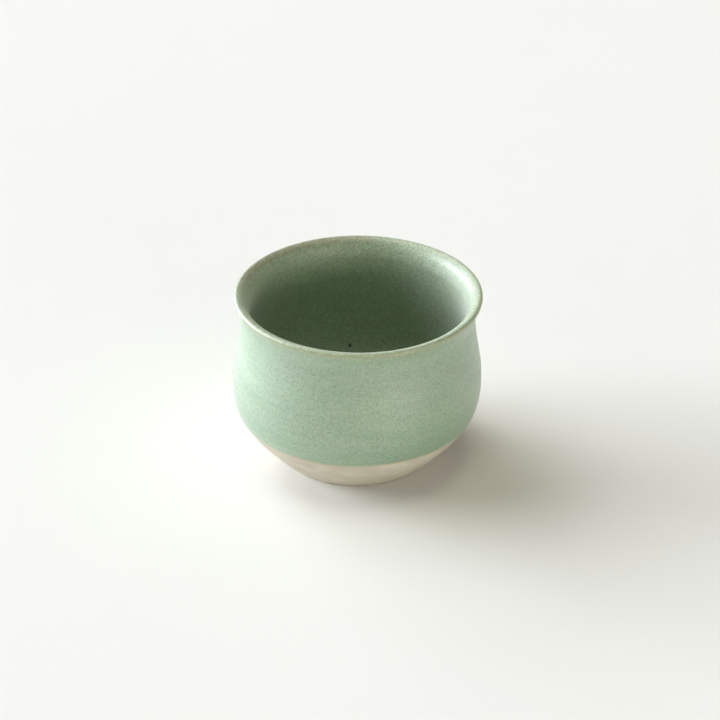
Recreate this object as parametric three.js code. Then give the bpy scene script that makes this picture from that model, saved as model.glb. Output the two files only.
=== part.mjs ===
// A wheel-thrown stoneware tea bowl for whisked green tea. Millimetres, +Z up.
// Origin: centre of the circle that the foot rests on. The bowl is a body of revolution about Z.
//
// Three separate solids, from the core outwards:
//   clay_body      the thrown wall and floor with the foot turned from the same clay
//   glaze_inside   the poured coat over the whole inside, up to the crest of the lip
//   glaze_outside  the dipped coat from the crest of the lip down to the glaze line
import * as THREE from 'three';

// Driving dimensions of the finished, glazed bowl.
const HEIGHT = 80;
const RIM_RADIUS = 55.4; // widest circle of the lip
const BELLY = { radius: 56.5, height: 37.8 };
const NECK = { radius: 52.6, height: 68.5 };
const LIP_EDGE = 1; // rounding of the lip's outer edge
const LIP_FLARE = 4.5; // rounding from the crest of the lip down into the throat
const LIP_LEAN = 26; // degrees from vertical at which the neck runs into the lip
const THROAT_LEAN = 25; // degrees from vertical at which the inside leaves the lip
const NECK_WALL = 4; // wall at the neck, both coats included
const BELLY_WALL = 4.2; // wall at the belly, both coats included
const FLOOR_HEIGHT = 8; // inside floor above the table
const FLOOR_PULL = { down: 0.8, across: 0.71 }; // how full the curve from the wall to the floor is

// The bare clay below the glaze line.
const FOOT_RADIUS = 35.4; // where the turned cone would meet the table
const CONE_TOP = { radius: 49.6, height: 15.8 };
const GLAZE_LINE = { radius: 53.5, height: 22.6, lean: 23.5 };
const FOOT_BEVEL = 0.8;
const RING_WIDTH = 6; // flat ring that the bowl stands on
const RECESS = { depth: 2.5, slope: 1.5 };

// The glaze.
const COAT = 0.4; // thickness of each coat
const GAP = 0.05; // clearance that keeps the solids apart
const SKIN = COAT + GAP;

const SEGMENTS = 48;
const PULL = 0.36; // length of a curve's handles, as a share of its chord

const materials = {
  clay: new THREE.MeshStandardMaterial({ color: 0xc9c2ad, roughness: 0.85, metalness: 0 }),
  glaze: new THREE.MeshStandardMaterial({ color: 0x93aa8f, roughness: 0.4, metalness: 0 }),
};

const radians = THREE.MathUtils.degToRad;
const point = (radius, height) => new THREE.Vector2(radius, height);

// A smooth curve between two points of an outline. A lean is the angle from vertical, in degrees,
// at which the outline passes that point; 0 runs straight up and 180 straight down.
function bend(start, startLean, end, endLean) {
  const reach = start.distanceTo(end) * PULL;
  const handle = (lean) => point(Math.sin(radians(lean)), Math.cos(radians(lean))).multiplyScalar(reach);
  return new THREE.CubicBezierCurve(
    start,
    start.clone().add(handle(startLean)),
    end.clone().sub(handle(endLean)),
    end,
  );
}

function arc(centre, radius, from, to) {
  return new THREE.EllipseCurve(centre.x, centre.y, radius, radius, radians(from), radians(to), false);
}

// The inside below the belly: it leaves the wall straight down and reaches the centre level.
function bowlFloor(wall, centre) {
  const down = point(wall.x, wall.y - (wall.y - centre.y) * FLOOR_PULL.down);
  const across = point(wall.x * FLOOR_PULL.across, centre.y);
  return new THREE.CubicBezierCurve(wall, down, across, centre);
}

// Points along a chain of [curve, steps] pairs, moved off the clay by a distance. The air is on
// the right of the direction of travel.
function trace(chain, distance = 0) {
  const points = [];
  chain.forEach(([curve, steps], index) => {
    for (let step = index === 0 ? 0 : 1; step <= steps; step += 1) {
      const along = curve.getTangent(step / steps);
      const air = point(along.y, -along.x);
      points.push(curve.getPoint(step / steps).addScaledVector(air, distance));
    }
  });
  return points;
}

// The clay's outline: up the outside, over the lip and down the inside to the centre of the floor.
const lipCentre = point(RIM_RADIUS - LIP_EDGE, HEIGHT - LIP_EDGE);
const flareCentre = point(lipCentre.x, HEIGHT - LIP_FLARE);
const lipEdge = arc(lipCentre, LIP_EDGE - SKIN, -LIP_LEAN, 90);
const lipFlare = arc(flareCentre, LIP_FLARE - SKIN, 90, 180 - THROAT_LEAN);

const coneTop = point(CONE_TOP.radius, CONE_TOP.height);
const coneLean = THREE.MathUtils.radToDeg(Math.atan((CONE_TOP.radius - FOOT_RADIUS) / CONE_TOP.height));
const glazeLine = point(GLAZE_LINE.radius, GLAZE_LINE.height);
const belly = point(BELLY.radius - SKIN, BELLY.height);
const neck = point(NECK.radius - SKIN, NECK.height);
const throat = lipFlare.getPoint(1);
const innerNeck = point(NECK.radius - NECK_WALL + SKIN, NECK.height);
const innerBelly = point(BELLY.radius - BELLY_WALL + SKIN, BELLY.height);
const floorCentre = point(0, FLOOR_HEIGHT - SKIN);

const shoulder = [[bend(coneTop, coneLean, glazeLine, GLAZE_LINE.lean), 3]];
const outside = [
  [bend(glazeLine, GLAZE_LINE.lean, belly, 0), 4],
  [bend(belly, 0, neck, 0), 6],
  [bend(neck, 0, lipEdge.getPoint(0), LIP_LEAN), 4],
  [lipEdge, 4],
];
const inside = [
  [lipFlare, 4],
  [bend(throat, 180 + THROAT_LEAN, innerNeck, 180), 3],
  [bend(innerNeck, 180, innerBelly, 180), 5],
  [bowlFloor(innerBelly, floorCentre), 9],
];

// The turned foot, from the centre of its underside out to the top of the bare cone.
function footOutline() {
  const slope = Math.tan(radians(coneLean));
  const outer = FOOT_RADIUS + FOOT_BEVEL * slope - FOOT_BEVEL;
  const inner = outer - RING_WIDTH;
  return [
    point(0, RECESS.depth),
    point(inner - RECESS.slope, RECESS.depth),
    point(inner, 0),
    point(outer, 0),
    point(FOOT_RADIUS + FOOT_BEVEL * slope, FOOT_BEVEL),
  ];
}

// A solid of revolution about Z from a counter-clockwise outline of (radius, height) points.
function turned(name, outline, material) {
  const geometry = new THREE.LatheGeometry(outline, SEGMENTS);
  geometry.rotateX(Math.PI / 2);
  const mesh = new THREE.Mesh(geometry, material);
  mesh.name = name;
  return mesh;
}

function clayBody() {
  const outline = [
    ...footOutline(),
    ...trace(shoulder),
    ...trace(outside).slice(1),
    ...trace(inside).slice(1),
  ];
  outline[outline.length - 1].x = 0;
  return turned('clay_body', outline, materials.clay);
}

function glazeOutside() {
  const face = trace(outside, SKIN);
  const back = trace(outside, GAP).reverse();
  return turned('glaze_outside', [...face, ...back, face[0].clone()], materials.glaze);
}

// The poured coat starts a hair inside the crest, where the dipped coat ends.
function glazeInside() {
  const start = 90 + THREE.MathUtils.radToDeg((2 * GAP) / (LIP_FLARE - SKIN));
  const coated = [[arc(flareCentre, LIP_FLARE - SKIN, start, 180 - THROAT_LEAN), 4], ...inside.slice(1)];
  const face = trace(coated, SKIN);
  const back = trace(coated, GAP);
  face[face.length - 1].x = 0;
  back[back.length - 1].x = 0;
  return turned('glaze_inside', [...back.reverse(), ...face], materials.glaze);
}

const group = new THREE.Group();
group.add(clayBody(), glazeInside(), glazeOutside());

export default group;
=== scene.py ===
import math

import bpy
import numpy as np
from mathutils import Matrix, Vector


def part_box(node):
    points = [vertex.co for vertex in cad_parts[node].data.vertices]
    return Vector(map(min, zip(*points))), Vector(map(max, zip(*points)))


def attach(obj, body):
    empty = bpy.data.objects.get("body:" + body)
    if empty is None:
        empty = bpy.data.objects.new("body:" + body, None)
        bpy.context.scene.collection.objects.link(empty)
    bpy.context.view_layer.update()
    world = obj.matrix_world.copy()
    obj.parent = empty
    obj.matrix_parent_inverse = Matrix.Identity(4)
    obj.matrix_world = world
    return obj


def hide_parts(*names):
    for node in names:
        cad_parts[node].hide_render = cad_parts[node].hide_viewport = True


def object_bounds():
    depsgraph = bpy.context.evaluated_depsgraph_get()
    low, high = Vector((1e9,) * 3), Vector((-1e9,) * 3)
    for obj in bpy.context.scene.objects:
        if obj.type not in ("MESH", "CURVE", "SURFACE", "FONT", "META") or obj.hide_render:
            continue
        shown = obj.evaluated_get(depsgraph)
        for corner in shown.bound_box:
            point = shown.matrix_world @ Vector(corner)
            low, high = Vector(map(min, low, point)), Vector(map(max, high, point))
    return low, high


# A glazed stoneware tea bowl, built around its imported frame. Metres, +Z up.
# The outline of the frame's clay is read, smoothed and turned again as fine meshes, with the small
# irregularities of a bowl that was thrown and glazed by hand.
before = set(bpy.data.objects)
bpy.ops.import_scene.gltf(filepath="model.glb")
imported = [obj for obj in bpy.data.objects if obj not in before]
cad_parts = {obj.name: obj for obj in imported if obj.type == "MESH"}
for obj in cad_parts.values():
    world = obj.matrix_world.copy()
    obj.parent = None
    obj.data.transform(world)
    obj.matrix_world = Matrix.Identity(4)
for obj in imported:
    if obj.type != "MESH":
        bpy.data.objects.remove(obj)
cad_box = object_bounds()

MM = 0.001
TURN = 2 * math.pi
BODY = "root"

# The camera, from the level of the rim. Degrees and metres, with the lens in millimetres.
VIEW = {"elevation": 28.9, "distance": 1.0, "lens": 112.3}
AIM = {"yaw": 0.09, "pitch": -0.235, "roll": 0.1}

# The turned meshes.
SEGMENTS = 288
CORNER = math.radians(35)  # a sharper turn than this in the frame's outline is a corner
FINE = 0.02 * MM  # spacing of the smoothed outline
WORN = 0.16 * MM  # rounding of its corners
SPACING = {  # along the outline, between the rings of the turned meshes
    "glaze edge": 0.12 * MM,
    "close": 0.3 * MM,
    "outer wall": 0.6 * MM,
    "inner wall": 0.8 * MM,
    "outer back": 1.2 * MM,
    "inner back": 1.4 * MM,
    "covered clay": 1.6 * MM,
}

# The hand of the potter.
LEAN = 0.015  # sideways shift for each unit of height
OVAL = 0.0012  # how far the radius swells and shrinks, as a share of it
LIP_WAVE = 0.10 * MM
TURNING = {"fine": 1.5 * MM, "broad": 3.7 * MM, "depth": 0.03 * MM}  # lines cut in the bare clay
THROWING = {"coarse": 9.5 * MM, "close": 5.2 * MM, "depth": 0.035 * MM}  # rings from the fingers
SWELLS = {"length": 34 * MM, "depth": 0.05 * MM}  # slow unevenness of the wall

# How the coats lie on the clay.
GLAZE_EDGE_WAVE = 0.22 * MM
EDGE_ROUND = 0.45 * MM  # distance over which the outer coat's lower edge rounds off
EDGE_BEAD = {"from_edge": 1.3 * MM, "width": 0.9 * MM, "height": 0.06 * MM}
EDGE_SUNK = 0.02 * MM  # depth to which that edge goes into the clay, so that no gap shows
BACK_GAP = 0.01 * MM  # between the clay and the hidden side of a coat

# The studio. A soft light's azimuth runs from +X towards +Y; width and height are the angles that
# its panel fills, and a strength of 1 lights a white sheet that faces it to full white.
PANEL_DISTANCE = 20
DAYLIGHT = (0.95, 0.99, 1.05)
CREAM_LIGHT = (1.0, 0.965, 0.86)
CEILING_LIGHT = (1.0, 0.93, 0.72)
LIGHTS = (  # name, azimuth, elevation, width, height, strength and tint
    ("window_low", 150, 9, 18, 15, 0.82, DAYLIGHT),
    ("window_near", 170, 12, 24, 14, 0.45, DAYLIGHT),
    ("window_middle", 178, 24, 28, 22, 0.36, DAYLIGHT),
    ("window_back", 122, 24, 24, 22, 0.20, DAYLIGHT),
    ("window_high", 144, 42, 30, 24, 0.22, DAYLIGHT),
    ("window_top", 145, 62, 40, 24, 0.19, DAYLIGHT),
    ("ceiling", 0, 88, 26, 26, 0.22, CEILING_LIGHT),
    ("left_fill", 215, 12, 26, 14, 0.05, CREAM_LIGHT),
    ("front_fill", 235, 20, 26, 20, 0.04, CREAM_LIGHT),
    ("right_fill", 300, 6, 44, 12, 0.33, CREAM_LIGHT),
)
WALLS = {"tint": (1.0, 0.955, 0.85, 1), "low": 1.05, "high": 0.09, "reach": 22, "lopsided": 0.4}
WALL_SEEN = "f3f3f1"  # the plain wall that the camera sees
PAPER = ("eeeeec", "f0f0ed")
FLOOR = {"radius": 12, "corners": 96}  # a disc, in metres

angles = np.arange(SEGMENTS) * TURN / SEGMENTS


# ---------------------------------------------------------------- the clay's outline, from the frame


def half_section(node):
    """The node's outline as (radius, height) points, from the underside's centre to the inside's."""
    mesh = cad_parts[node].data
    flat = 0.001 * MM
    joined = {}
    for edge in mesh.edges:
        ends = [mesh.vertices[index].co for index in edge.vertices]
        if any(abs(end.y) > flat or end.x < -flat for end in ends):
            continue
        first, second = [(round(end.x, 7), round(end.z, 7)) for end in ends]
        if first != second:
            joined.setdefault(first, set()).add(second)
            joined.setdefault(second, set()).add(first)
    ends = [point for point in joined if len(joined[point]) == 1]
    path = [min(ends, key=lambda point: point[1])]
    while True:
        onward = [point for point in joined[path[-1]] if point not in path]
        if not onward:
            return np.array(path)
        path.append(onward[0])


def unit(vectors):
    return vectors / np.linalg.norm(vectors, axis=-1, keepdims=True)


def smooth_line(knots):
    """A curve through the knots that keeps their corners, sampled finely."""
    chords = np.diff(knots, axis=0)
    lengths = np.linalg.norm(chords, axis=1)
    headings = unit(chords)
    leaving, arriving = headings.copy(), headings.copy()
    for knot in range(1, len(knots) - 1):
        before, after = headings[knot - 1], headings[knot]
        if math.acos(min(1.0, float(before @ after))) < CORNER:
            middle = unit(before * lengths[knot] + after * lengths[knot - 1])
            arriving[knot - 1] = middle
            leaving[knot] = middle
    arriving[-1] = (-1, 0)
    line = [knots[:1]]
    for span, length in enumerate(lengths):
        along = np.linspace(0, 1, max(2, round(length / FINE)) + 1)[1:, None]
        back = 1 - along
        line.append(
            back**2 * (1 + 2 * along) * knots[span]
            + back**2 * along * length * leaving[span]
            - back * along**2 * length * arriving[span]
            + along**2 * (1 + 2 * back) * knots[span + 1]
        )
    return np.concatenate(line)


class Outline:
    """The clay's outline by distance along it, with the direction that points away from the clay."""

    def __init__(self, knots):
        line = smooth_line(knots)
        steps = np.linalg.norm(np.diff(line, axis=0), axis=1)
        travelled = np.concatenate([[0], np.cumsum(steps)])
        self.distance = np.linspace(0, travelled[-1], round(travelled[-1] / FINE))
        radius, height = [np.interp(self.distance, travelled, line[:, axis]) for axis in (0, 1)]
        self.radius, self.height = self.worn(radius, -1), self.worn(height, 1)
        self.radius[0] = self.radius[-1] = 0
        rise, run = np.gradient(self.height), np.gradient(self.radius)
        across = np.hypot(rise, run)
        self.out, self.up = rise / across, -run / across

    def worn(self, values, mirrored):
        """Rounds the corners. Past its ends the outline goes on mirrored in the bowl's axis."""
        reach = round(4 * WORN / FINE)
        weights = np.exp(-0.5 * (np.arange(-reach, reach + 1) * FINE / WORN) ** 2)
        head, tail = mirrored * values[reach:0:-1], mirrored * values[-2 : -reach - 2 : -1]
        padded = np.concatenate([head, values, tail])
        return np.convolve(padded, weights / weights.sum(), "valid")

    def at(self, distance, offset=0.0):
        """Radius and height of the points at these distances, moved off the clay."""
        radius, height, out, up = [
            np.interp(distance, self.distance, values)
            for values in (self.radius, self.height, self.out, self.up)
        ]
        return radius + offset * out, height + offset * up

    def nearest(self, radius, height):
        return self.distance[np.argmin(np.hypot(self.radius - radius, self.height - height))]


def lowest_point(node):
    low = min((vertex.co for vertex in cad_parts[node].data.vertices), key=lambda co: co.z)
    return math.hypot(low.x, low.y), low.z


clay_line = Outline(half_section("clay_body"))
centre_inside = clay_line.distance[-1]
crest = clay_line.distance[np.argmax(clay_line.height)]
glaze_edge = clay_line.nearest(*lowest_point("glaze_outside"))
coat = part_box("glaze_outside")[1].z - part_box("clay_body")[1].z
top = cad_box[1].z


# ---------------------------------------------------------------- turning the outline into meshes


def smoothstep(low, high, values):
    share = np.clip((values - low) / (high - low), 0, 1)
    return share * share * (3 - 2 * share)


def wander(waves, seed):
    """A smooth closed wave round the bowl, between -1 and 1."""
    draw = np.random.default_rng(seed)
    total = np.zeros(SEGMENTS)
    for wave in range(1, waves + 1):
        total += draw.normal() / wave**0.5 * np.sin(wave * angles + draw.uniform(0, TURN))
    return total / np.abs(total).max()


def shaped_by_hand(points):
    """Leans the bowl a little, makes it a little oval and lets the lip rise and fall."""
    x, y, z = np.moveaxis(points, -1, 0)
    around = np.arctan2(y, x)
    swell = 1 + OVAL * np.cos(2 * around + 0.9) * smoothstep(0, 0.3 * top, z)
    wave = np.sin(2 * around + 0.4) + 0.6 * np.sin(3 * around + 2.1)
    rise = LIP_WAVE * wave * smoothstep(0.6 * top, top, z)
    return np.stack([x * swell + LEAN * (z - 0.5 * top), y * swell, z + rise], axis=-1)


def spun(distances, offsets):
    """Rings of points: each row of the outline, carried once round the bowl's axis."""
    radius, height = clay_line.at(distances, offsets)
    shape = (len(distances), SEGMENTS)
    radius, height = np.broadcast_to(radius, shape), np.broadcast_to(height, shape)
    rings = np.stack([radius * np.cos(angles), radius * np.sin(angles), height], axis=-1)
    return shaped_by_hand(rings)


def rows(*stretches):
    """Distances along the outline, from (start, end, spacing) stretches that follow on."""
    marks = [np.array([stretches[0][0]])]
    for start, end, spacing in stretches:
        marks.append(np.linspace(start, end, max(1, round(abs(end - start) / spacing)) + 1)[1:])
    return np.concatenate(marks)


def is_point(ring):
    return np.ptp(ring, axis=0).max() < 0.001 * MM


def solid(name, rings, attributes):
    """A closed mesh through the rings in turn and back to the first. A ring of no size is a point,
    and two points in a row leave the mesh and come back to it along the axis."""
    vertices, values, firsts = [], {key: [] for key in attributes}, []
    for row, ring in enumerate(rings):
        firsts.append(len(vertices))
        points = ring[:1] if is_point(ring) else ring
        vertices.extend(points.tolist())
        for key, value in attributes.items():
            values[key].extend(value[row][: len(points)].tolist())
    faces = []
    for row, first in enumerate(firsts):
        following = (row + 1) % len(rings)
        second = firsts[following]
        here = [first] * SEGMENTS if is_point(rings[row]) else range(first, first + SEGMENTS)
        there = [second] * SEGMENTS if is_point(rings[following]) else range(second, second + SEGMENTS)
        for step in range(SEGMENTS):
            onward = (step + 1) % SEGMENTS
            corners = [here[step], here[onward], there[onward], there[step]]
            face = list(dict.fromkeys(corners))
            if len(face) > 2:
                faces.append(face)
    mesh = bpy.data.meshes.new(name)
    mesh.from_pydata(vertices, [], faces)
    if signed_volume(mesh) < 0:
        mesh.flip_normals()
    for key, value in values.items():
        mesh.attributes.new(key, "FLOAT", "POINT").data.foreach_set("value", value)
    mesh.polygons.foreach_set("use_smooth", [True] * len(mesh.polygons))
    mesh.set_sharp_from_angle(angle=CORNER)
    piece = bpy.data.objects.new(name, mesh)
    bpy.context.scene.collection.objects.link(piece)
    return piece


def signed_volume(mesh):
    mesh.calc_loop_triangles()
    corners = np.empty(len(mesh.vertices) * 3, np.float32)
    mesh.vertices.foreach_get("co", corners)
    triangles = np.empty(len(mesh.loop_triangles) * 3, np.int32)
    mesh.loop_triangles.foreach_get("vertices", triangles)
    a, b, c = corners.reshape(-1, 3)[triangles.reshape(-1, 3)].astype(float).transpose(1, 0, 2)
    return float(np.einsum("ij,ij->i", a, np.cross(b, c)).sum())


def all_round(values):
    """One value for each row, repeated round the bowl."""
    return np.repeat(values[:, None], SEGMENTS, axis=1)


def edge_wave():
    return GLAZE_EDGE_WAVE * wander(14, 21)


def glaze_relief(distances):
    """Throwing rings that show through the glaze, as one spiral, and a slow unevenness."""
    coarse = np.sin(TURN * distances / THROWING["coarse"] + angles)
    close = np.sin(TURN * distances / THROWING["close"] + angles + 1.3)
    slow = wander(5, 12) * np.sin(TURN * distances / SWELLS["length"] + 0.6)
    radius, height = clay_line.at(distances)
    calm = smoothstep(2 * MM, 14 * MM, radius) * (1 - 0.75 * smoothstep(0.9 * top, 0.97 * top, height))
    rings = (0.7 + 0.3 * wander(4, 11)) * (coarse + 0.5 * close)
    return calm * (THROWING["depth"] * rings + SWELLS["depth"] * slow)


# ---------------------------------------------------------------- the three pieces


def clay_piece():
    """The thrown clay. Only its turned foot and cone show; the rest lies under the glaze."""
    bare_end = glaze_edge + 1.5 * MM
    marks = rows((0, bare_end, SPACING["close"]), (bare_end, centre_inside, SPACING["covered clay"]))
    radius, height = clay_line.at(marks)
    ring = radius[height < 0.02 * MM]
    cone = (radius > ring.max()) * smoothstep(0.6 * MM, 1.6 * MM, height)
    recess = (radius < ring.min()) * smoothstep(0.6 * MM, 1.6 * MM, height)
    bare = (marks < bare_end) * (cone + recess) * smoothstep(1 * MM, 6 * MM, radius)
    fine = np.sin(TURN * marks[:, None] / TURNING["fine"] - angles)
    broad = np.sin(TURN * marks[:, None] / TURNING["broad"] - angles + 2.0)
    relief = -TURNING["depth"] * (1.6 + 0.6 * fine + broad) * bare[:, None]
    below = all_round(glaze_edge - marks) + edge_wave()
    return solid("clay_body_thrown", spun(marks[:, None], relief), {"below_glaze": below})


def coat_back(start, end, spacing):
    """The hidden side of a coat, which lies on the clay."""
    marks = rows((start, end, spacing))
    return marks, spun(marks[:, None], np.full((len(marks), 1), BACK_GAP))


def glaze_piece(name, marks, face, back_marks, back):
    distances = all_round(np.concatenate([marks, back_marks]))
    placed = {"from_lip": crest - distances, "from_edge": distances - glaze_edge}
    return solid(name, np.concatenate([face, back]), placed)


def glaze_outside_piece():
    """The dipped coat, from its wavy lower edge to the crest of the lip."""
    edge_end, neck = glaze_edge + 1.2 * MM, crest - 16 * MM
    marks = rows(
        (glaze_edge, edge_end, SPACING["glaze edge"]),
        (edge_end, neck, SPACING["outer wall"]),
        (neck, crest, SPACING["close"]),
    )
    from_edge = (marks - glaze_edge)[:, None]
    shifted = marks[:, None] + edge_wave() * (1 - smoothstep(0, 9 * MM, from_edge))
    rounded = np.sqrt(1 - (1 - np.clip(from_edge / EDGE_ROUND, 0, 1)) ** 2)
    off_bead = (from_edge - EDGE_BEAD["from_edge"]) / EDGE_BEAD["width"]
    bead = EDGE_BEAD["height"] * np.exp(-(off_bead**2))
    offsets = (coat + bead + glaze_relief(shifted)) * rounded - EDGE_SUNK * (from_edge <= 0)
    return glaze_piece(
        "glaze_outside_dipped",
        marks,
        spun(shifted, offsets),
        *coat_back(crest, glaze_edge + 0.6 * MM, SPACING["outer back"]),
    )


def glaze_inside_piece():
    """The poured coat, from the crest of the lip down to the centre of the floor."""
    throat = crest + 12 * MM
    marks = rows((crest, throat, SPACING["close"]), (throat, centre_inside, SPACING["inner wall"]))
    return glaze_piece(
        "glaze_inside_poured",
        marks,
        spun(marks[:, None], coat + glaze_relief(marks[:, None])),
        *coat_back(centre_inside, crest, SPACING["inner back"]),
    )


# ---------------------------------------------------------------- materials


def linear(level):
    """A linear colour level from an sRGB one."""
    if level <= 0.04045:
        return level / 12.92
    return ((level + 0.055) / 1.055) ** 2.4


def colour(code):
    """Linear red, green, blue and alpha from a six-digit sRGB code."""
    red, green, blue = [linear(int(code[start : start + 2], 16) / 255) for start in (0, 2, 4)]
    return (red, green, blue, 1)


class Recipe:
    """A material being made. Each call adds one node and gives its output; sizes are in millimetres."""

    def __init__(self, name):
        self.material = bpy.data.materials.new(name)
        self.material.use_nodes = True
        self.tree = self.material.node_tree
        self.surface = self.tree.nodes["Principled BSDF"]
        place = self.tree.nodes.new("ShaderNodeTexCoord").outputs["Object"]
        self.place = self.node("VectorMath", {0: place, "Scale": 1 / MM}, operation="SCALE")

    def node(self, kind, inputs, output=0, **settings):
        made = self.tree.nodes.new("ShaderNode" + kind)
        for key, value in settings.items():
            setattr(made, key, value)
        for key, value in inputs.items():
            self.feed(made.inputs[key], value)
        return made.outputs[output]

    def feed(self, socket, value):
        if isinstance(value, bpy.types.NodeSocket):
            self.tree.links.new(value, socket)
        else:
            socket.default_value = value

    def finish(self, **inputs):
        for key, value in inputs.items():
            self.feed(self.surface.inputs[key.replace("_", " ")], value)
        return self.material

    def stretched(self, stretch):
        return self.node("VectorMath", {0: self.place, 1: [1 / s for s in stretch]}, operation="MULTIPLY")

    def noise(self, size, detail=2.0, stretch=(1, 1, 1), seed=0.0):
        inputs = {"Vector": self.stretched(stretch), "W": seed, "Scale": 1 / size, "Detail": detail}
        return self.node("TexNoise", inputs, noise_dimensions="4D")

    def cells(self, size, output):
        return self.node("TexVoronoi", {"Vector": self.place, "Scale": 1 / size}, output)

    def attribute(self, name):
        distance = self.node("Attribute", {}, "Fac", attribute_name=name)
        return self.math("MULTIPLY", distance, 1 / MM)

    def math(self, operation, first, second=0.0):
        return self.node("Math", {0: first, 1: second}, operation=operation)

    def step(self, value, low, high, low_value=0.0, high_value=1.0):
        inputs = {0: value, 1: low, 2: high, 3: low_value, 4: high_value}
        return self.node("MapRange", inputs, interpolation_type="SMOOTHSTEP")

    def mix(self, share, first, second, blend_type="MIX"):
        inputs = {0: share, 6: first, 7: second}
        return self.node("Mix", inputs, 2, data_type="RGBA", blend_type=blend_type)

    def bump(self, height, depth, under=None):
        inputs = {"Height": height, "Distance": depth * MM, "Strength": 1.0}
        if under is not None:
            inputs["Normal"] = under
        return self.node("Bump", inputs)


SPOT = {"angle": 94.1, "height": 23.4 * MM, "core": 0.45, "radius": 1.25}  # radii in millimetres
FIRED_AND_SHADED_SIDE = [-0.6, 0.8, 0]  # points to the side of the bowl that faced the fire; the inside of its lip there also gets painted shade
DOT_CELL = 2.3  # millimetres across the cells that may each hold one speck
GLAZE = {
    "grey": colour("7e9980"),
    "fresh": colour("799b7a"),
    "olive": colour("879874"),
    "pale": colour("90a78f"),
    "deep": colour("6a8f6d"),
    "speck": colour("576d54"),
    "cream": colour("bcc8ab"),
    "drab": colour("8a9066"),
    "tan": colour("a8996e"),
    "umber": colour("6f6a48"),
    "russet": colour("8a5f45"),
    "iron": colour("15130f"),
}
CLAY = {
    "cream": colour("c7c1b2"),
    "sand": colour("b9b3a3"),
    "toast": colour("bba27e"),
    "iron": colour("8d7c64"),
}


def spot_place():
    """Where the iron spot lies on the face of the inside coat, in millimetres."""
    inside = clay_line.distance > crest
    found = np.argmin(np.abs(np.where(inside, clay_line.height, np.inf) - SPOT["height"]))
    radius, height = clay_line.at(clay_line.distance[found], coat)
    turned = math.radians(SPOT["angle"])
    return [radius * math.cos(turned) / MM, radius * math.sin(turned) / MM, height / MM]


def green_glaze(name, bloom, depth, roughness):
    """Satin celadon: softly clouded and banded, specked, finely grained and darker at its lower edge.
    The bloom is the pale veil that a satin glaze shows at a low angle, which fades towards the lip,
    and the depth is that of the grain."""
    glaze = Recipe(name)
    clouds = glaze.noise(30, 2, (1, 1, 0.7), seed=1)
    bands = glaze.noise(4.6, 2, (6, 6, 1), seed=2)
    mottle = glaze.noise(2.4, 3, (1, 1, 0.8), seed=3)
    grain = glaze.noise(0.62, 2, seed=4)
    tinge = glaze.noise(1.1, 2, seed=5)
    tone = glaze.mix(glaze.step(clouds, 0.3, 0.7), GLAZE["grey"], GLAZE["fresh"])
    tone = glaze.mix(glaze.step(bands, 0.35, 0.65, 0, 0.5), tone, GLAZE["pale"])
    tone = glaze.mix(glaze.step(mottle, 0.45, 0.7, 0, 0.45), tone, GLAZE["olive"])
    tone = glaze.mix(glaze.step(tinge, 0.5, 0.8, 0, 0.25), tone, GLAZE["tan"])

    edge = glaze.math("ADD", glaze.attribute("from_edge"), glaze.step(clouds, 0.3, 0.7, -3, 3))
    tone = glaze.mix(glaze.step(edge, 1, 14, 0.6, 0), tone, GLAZE["deep"])

    dots = glaze.cells(DOT_CELL, "Distance")
    chosen = glaze.node("SeparateColor", {0: glaze.cells(DOT_CELL, "Color")})
    dots = glaze.math("ADD", dots, glaze.step(chosen, 0.2, 0.7, 0.4, 0))
    tone = glaze.mix(glaze.step(dots, 0.08, 0.32, 0.55, 0), tone, GLAZE["speck"])

    tone = over_lip(glaze, tone, mottle, tinge)
    tone = glaze.mix(1.0, tone, glaze.step(grain, 0.25, 0.75, 1 - depth, 1 + depth), "MULTIPLY")

    apart = glaze.node("VectorMath", {0: glaze.place, 1: spot_place()}, "Value", operation="DISTANCE")
    apart = glaze.math("ADD", apart, glaze.step(mottle, 0.3, 0.7, -0.2, 0.2))
    spot = glaze.step(apart, SPOT["core"], SPOT["radius"], 1, 0)
    tone = glaze.mix(spot, tone, GLAZE["iron"])

    rough = glaze.step(glaze.noise(9, 3, seed=7), 0.3, 0.7, roughness - 0.05, roughness + 0.05)
    rough = glaze.math("ADD", rough, glaze.step(mottle, 0.35, 0.7, -0.03, 0.05))
    off_lip = glaze.math("ABSOLUTE", glaze.attribute("from_lip"))
    relief = glaze.bump(glaze.noise(1.4, 3, seed=6), 0.03)
    relief = glaze.bump(glaze.step(dots, 0.06, 0.3), 0.02, relief)
    relief = glaze.bump(glaze.math("SUBTRACT", 1.0, spot), 0.25, relief)
    return glaze.finish(
        Base_Color=tone,
        Roughness=rough,
        Normal=relief,
        IOR=1.6,
        Coat_Weight=1.0,
        Coat_Roughness=0.6,
        Coat_IOR=1.9,
        Sheen_Weight=glaze.step(off_lip, 3, 10, 0.1, bloom),
        Sheen_Roughness=0.5,
    )


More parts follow.
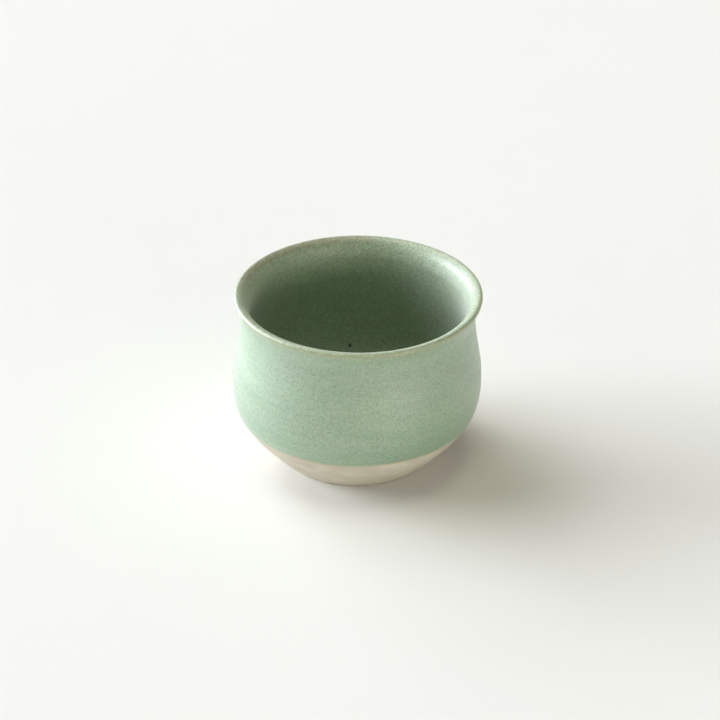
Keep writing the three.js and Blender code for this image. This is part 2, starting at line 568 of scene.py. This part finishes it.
def over_lip(glaze, tone, mottle, tinge):
    """The glaze thins to cream on the crest of the lip, and that cream is also painted highlight where
    the crest faces up to the light. It thins to drab green on its outer edge, which is also painted
    shade where that edge turns from the light, and to a tan line below that. The inside and the lip
    lean to olive, which fades out a little way down the outside. The side that faced the fire is
    mottled brown on the crest and darker outside and at the top of the inside: smoke outside, and
    painted shade on the inside of the far lip, which faces away from the window light."""
    ragged = glaze.step(mottle, 0.3, 0.7, -0.35, 0.35)
    lip = glaze.math("ADD", glaze.attribute("from_lip"), ragged)
    fired_and_shaded = glaze.node("VectorMath", {0: glaze.place, 1: FIRED_AND_SHADED_SIDE}, "Value", operation="DOT_PRODUCT")
    fired_and_shaded = glaze.math("MULTIPLY", glaze.step(fired_and_shaded, 25, 50), glaze.step(mottle, 0.35, 0.6, 0.45, 1))

    # Painted shade: the top of the inside on this side faces away from the window light and is darkened;
    # outside, the same darkening stands for smoke.
    smoke_and_shade = glaze.math("MULTIPLY", fired_and_shaded, glaze.step(lip, -12, -5, 0, 0.55))
    tone = glaze.mix(smoke_and_shade, tone, GLAZE["speck"])
    # The crest's cream is thin glaze, and also painted highlight for the light that the upward-facing
    # crest catches.
    crest_thin_and_lit = glaze.math("MULTIPLY", glaze.step(lip, -2.8, -0.9), glaze.step(lip, 0.5, 1.0, 0.75, 0))
    tone = glaze.mix(crest_thin_and_lit, tone, GLAZE["cream"])
    brown = glaze.mix(glaze.step(tinge, 0.45, 0.58, 0, 0.85), GLAZE["umber"], GLAZE["russet"])
    brown_share = glaze.math("MULTIPLY", glaze.step(lip, -3.6, -2.4), glaze.step(lip, 0.4, 1.0, 0.9, 0))
    tone = glaze.mix(glaze.math("MULTIPLY", fired_and_shaded, brown_share), tone, brown)

    # The drab outer edge is thin glaze, and also painted shade where the edge turns away from the light.
    edge_thin_and_shaded = glaze.math("MULTIPLY", glaze.step(lip, 0.5, 0.9), glaze.step(lip, 1.2, 1.9, 0.85, 0))
    tone = glaze.mix(edge_thin_and_shaded, tone, GLAZE["drab"])
    line = glaze.math("ABSOLUTE", glaze.math("SUBTRACT", lip, 1.7))
    tone = glaze.mix(glaze.step(line, 0.15, 0.5, 0.7, 0), tone, GLAZE["tan"])
    return glaze.mix(glaze.step(lip, 2.0, 6.5, 0.5, 0), tone, GLAZE["olive"])


def bare_clay():
    """Unglazed stoneware: cream, with turning lines, sparse iron grains and a toasted upper edge."""
    clay = Recipe("cream_stoneware")
    lines = clay.noise(0.7, 2, (20, 20, 0.6), seed=11)
    broad = clay.noise(12, 2, (1, 1, 0.6), seed=12)
    grit = clay.noise(0.5, 2, seed=13)
    tone = clay.mix(clay.step(broad, 0.35, 0.65), CLAY["cream"], CLAY["sand"])
    tone = clay.mix(clay.step(lines, 0.42, 0.66, 0, 0.6), tone, CLAY["sand"])
    tone = clay.mix(clay.step(grit, 0.58, 0.72, 0, 0.35), tone, CLAY["iron"])
    wander_below = clay.step(broad, 0.3, 0.7, -0.3, 0.3)
    below = clay.math("ADD", clay.attribute("below_glaze"), wander_below)
    tone = clay.mix(clay.step(below, 0.4, 1.5, 0.8, 0), tone, CLAY["toast"])
    rough = clay.step(grit, 0.3, 0.7, 0.78, 0.92)
    relief = clay.bump(lines, 0.04)
    relief = clay.bump(grit, 0.03, relief)
    return clay.finish(Base_Color=tone, Roughness=rough, Normal=relief)


def pale_paper():
    """The floor: plain pale paper, with the faintest mottling."""
    paper = Recipe("pale_paper")
    tone = paper.mix(paper.noise(60, 2), *[colour(code) for code in PAPER])
    rough = paper.step(paper.noise(3, 2), 0.3, 0.7, 0.7, 0.8)
    relief = paper.bump(paper.noise(0.8, 2), 0.01)
    return paper.finish(Base_Color=tone, Roughness=rough, Normal=relief, Specular_IOR_Level=0.1)


# ---------------------------------------------------------------- the studio


def floor():
    disc = bpy.data.meshes.new("floor")
    reach, count = FLOOR["radius"], FLOOR["corners"]
    corners = [(reach * math.cos(a), reach * math.sin(a), 0) for a in np.arange(count) * TURN / count]
    disc.from_pydata(corners, [], [list(range(count))])
    laid = bpy.data.objects.new("floor", disc)
    laid.data.materials.append(pale_paper())
    bpy.context.scene.collection.objects.link(laid)


def soft_light(name, azimuth, elevation, width, height, strength, tint):
    """A far soft panel that faces the bowl. The camera does not see it."""
    lamp = bpy.data.lights.new(name, "AREA")
    lamp.shape = "RECTANGLE"
    lamp.size = 2 * PANEL_DISTANCE * math.tan(math.radians(width / 2))
    lamp.size_y = 2 * PANEL_DISTANCE * math.tan(math.radians(height / 2))
    lamp.energy = strength * (math.pi * PANEL_DISTANCE) ** 2
    lamp.color = tint
    turned, raised = math.radians(azimuth), math.radians(elevation)
    across = math.cos(raised)
    away = Vector((across * math.cos(turned), across * math.sin(turned), math.sin(raised)))
    placed = bpy.data.objects.new(name, lamp)
    placed.location = PANEL_DISTANCE * away
    placed.rotation_euler = away.to_track_quat("Z", "Y").to_euler()
    placed.visible_camera = False
    bpy.context.scene.collection.objects.link(placed)


def surroundings():
    """Pale walls that light the bowl, brighter low down and towards +X. The camera sees one plain
    wall instead."""
    world = bpy.data.worlds.new("studio")
    world.use_nodes = True
    tree = world.node_tree
    walls = tree.nodes["Background"]
    walls.inputs["Color"].default_value = WALLS["tint"]
    towards = tree.nodes.new("ShaderNodeSeparateXYZ")
    tree.links.new(tree.nodes.new("ShaderNodeTexCoord").outputs["Generated"], towards.inputs[0])
    upwards = tree.nodes.new("ShaderNodeMapRange")
    upwards.interpolation_type = "SMOOTHSTEP"
    tree.links.new(towards.outputs["Z"], upwards.inputs["Value"])
    upwards.inputs["From Max"].default_value = math.sin(math.radians(WALLS["reach"]))
    upwards.inputs["To Min"].default_value = WALLS["low"]
    upwards.inputs["To Max"].default_value = WALLS["high"]
    sideways = tree.nodes.new("ShaderNodeMapRange")
    tree.links.new(towards.outputs["X"], sideways.inputs["Value"])
    sideways.inputs["From Min"].default_value = -1
    sideways.inputs["To Min"].default_value = 1 - WALLS["lopsided"]
    sideways.inputs["To Max"].default_value = 1 + WALLS["lopsided"]
    strength = tree.nodes.new("ShaderNodeMath")
    strength.operation = "MULTIPLY"
    tree.links.new(upwards.outputs["Result"], strength.inputs[0])
    tree.links.new(sideways.outputs["Result"], strength.inputs[1])
    tree.links.new(strength.outputs[0], walls.inputs["Strength"])
    seen_wall = tree.nodes.new("ShaderNodeBackground")
    seen_wall.inputs["Color"].default_value = colour(WALL_SEEN)
    seen = tree.nodes.new("ShaderNodeLightPath").outputs["Is Camera Ray"]
    chosen = tree.nodes.new("ShaderNodeMixShader")
    tree.links.new(seen, chosen.inputs[0])
    tree.links.new(walls.outputs[0], chosen.inputs[1])
    tree.links.new(seen_wall.outputs[0], chosen.inputs[2])
    tree.links.new(chosen.outputs[0], tree.nodes["World Output"].inputs["Surface"])
    bpy.context.scene.world = world


def camera():
    """Looks at the middle of the bowl from the side of -Y, turned by the small angles of AIM."""
    raised = math.radians(VIEW["elevation"])
    away = Vector((0, -math.cos(raised), math.sin(raised)))
    seen = bpy.data.objects.new("camera", bpy.data.cameras.new("camera"))
    seen.data.lens = VIEW["lens"]
    place = Vector((0, 0, top)) + VIEW["distance"] * away
    down = math.atan2(place.z - 0.5 * top, -place.y)
    yaw, pitch, roll = [math.radians(AIM[key]) for key in ("yaw", "pitch", "roll")]
    turned = (
        Matrix.Rotation(-yaw, 4, "Z")
        @ Matrix.Rotation(math.pi / 2 - down - pitch, 4, "X")
        @ Matrix.Rotation(roll, 4, "Z")
    )
    seen.matrix_world = Matrix.Translation(place) @ turned
    bpy.context.scene.collection.objects.link(seen)
    bpy.context.scene.camera = seen


dipped_glaze = green_glaze("celadon_dipped", bloom=0.15, depth=0.24, roughness=0.41)
poured_glaze = green_glaze("celadon_poured", bloom=0.75, depth=0.40, roughness=0.55)
clay_material = bare_clay()
for make, node, material, slot in (
    (clay_piece, "clay_body", clay_material, "bare_clay"),
    (glaze_outside_piece, "glaze_outside", dipped_glaze, "green_glaze"),
    (glaze_inside_piece, "glaze_inside", poured_glaze, "green_glaze"),
):
    piece = make()
    piece.data.materials.append(material)
    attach(piece, BODY)
    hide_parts(node)

floor()
surroundings()
for light in LIGHTS:
    soft_light(*light)
camera()
bpy.context.scene.view_settings.view_transform = "Standard"
